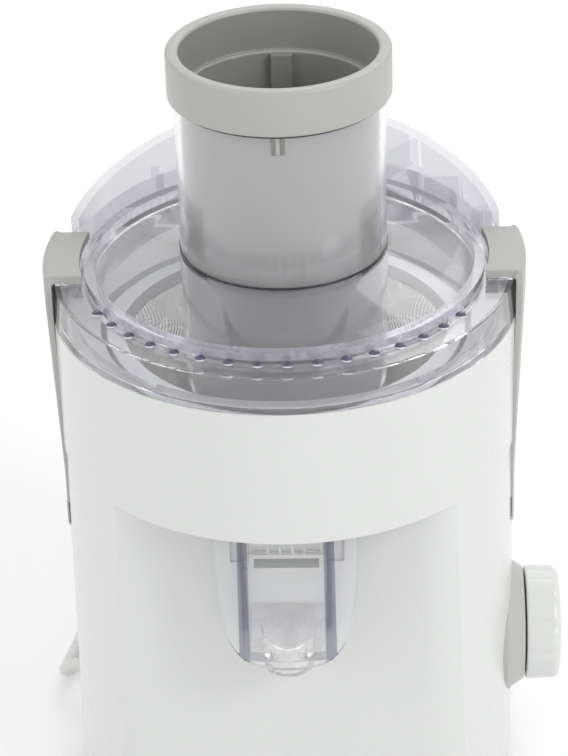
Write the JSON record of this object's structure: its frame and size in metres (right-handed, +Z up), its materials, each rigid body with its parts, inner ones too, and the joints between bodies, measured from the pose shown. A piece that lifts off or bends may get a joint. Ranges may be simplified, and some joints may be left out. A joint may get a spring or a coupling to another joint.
{
  "type": "centrifugal juicer",
  "caption": "Countertop centrifugal juicer with a wide feed chute and pusher, clear lid with a rear pulp hood, lock arms, juice spout, speed knob and rear pulp container.",
  "frame": {"origin": "point on the table under the motor's spin axis", "axes": "+Z up along the spin axis, -Y to the front with the juice spout, +X to the side with the speed knob"},
  "size_m": [0.2293, 0.4061, 0.3452],
  "materials": {
    "white_plastic": "glossy white moulded plastic",
    "grey_plastic": "satin grey moulded plastic",
    "dark_plastic": "dark matte plastic",
    "pale_plastic": "pale grey plastic",
    "clear_plastic": "clear plastic with a faint violet tint",
    "black_rubber": "soft matte rubber",
    "steel": "plain steel",
    "stainless": "stainless steel sheet",
    "motor_metal": "cast aluminium",
    "lamination": "laminated electrical steel",
    "copper_winding": "enamelled copper",
    "brass_gear": "brass holders on an insulating plate",
    "cord_plastic": "white flexible cord sheath"
  },
  "bodies": {
    "base": {"base_housing": "white_plastic", "base_plate": "white_plastic", "feet": "black_rubber", "base_screws": "steel", "knob_bezel": "grey_plastic", "rotary_switch": "dark_plastic", "pivot_pin_left": "steel", "pivot_pin_right": "steel", "motor_bracket_upper": "motor_metal", "motor_bracket_lower": "motor_metal", "motor_mounts": "black_rubber", "tie_bolts": "steel", "stator_core": "lamination", "field_coils": "copper_winding", "brush_gear": "brass_gear", "bearing_upper": "steel", "bearing_lower": "steel", "shaft_seal": "black_rubber", "juice_bowl": "white_plastic", "spout": "clear_plastic", "lid": "clear_plastic", "strain_relief": "cord_plastic", "cord": "cord_plastic", "cord_coil": "cord_plastic", "plug": "cord_plastic"},
    "rotor": {"motor_shaft": "steel", "armature": "lamination", "commutator": "copper_winding", "cooling_fan": "dark_plastic", "drive_coupling": "dark_plastic", "basket_frame": "pale_plastic", "basket_mesh": "stainless", "grater_disc": "stainless"},
    "pusher": {"pusher": "grey_plastic"},
    "left_lock_arm": {"left_arm": "grey_plastic"},
    "right_lock_arm": {"right_arm": "grey_plastic"},
    "knob": {"speed_knob": "white_plastic", "knob_shaft": "steel"},
    "pulp_container": {"pulp_container": "white_plastic"}
  },
  "joints": [
    {"name": "rotor_spin", "type": "hinge", "parent": "base", "child": "rotor", "pos_m": [0, 0, 0.1], "axis": [0, 0, 1], "continuous": true},
    {"name": "pusher_slide", "type": "slide", "parent": "base", "child": "pusher", "axis": [0, 0, 1], "range_m": [0, 0.13]},
    {"name": "left_arm_hinge", "type": "hinge", "parent": "base", "child": "left_lock_arm", "pos_m": [-0.0885, 0, 0.139], "axis": [0, -1, 0], "range_deg": [0, 50]},
    {"name": "right_arm_hinge", "type": "hinge", "parent": "base", "child": "right_lock_arm", "pos_m": [0.0885, 0, 0.139], "axis": [0, 1, 0], "range_deg": [0, 50]},
    {"name": "knob_turn", "type": "hinge", "parent": "base", "child": "knob", "pos_m": [0.1, 0, 0.07], "axis": [1, 0, 0], "range_deg": [-60, 120]},
    {"name": "container_slide", "type": "slide", "parent": "base", "child": "pulp_container", "axis": [0, 1, 0], "range_m": [0, 0.075]}
  ]
}
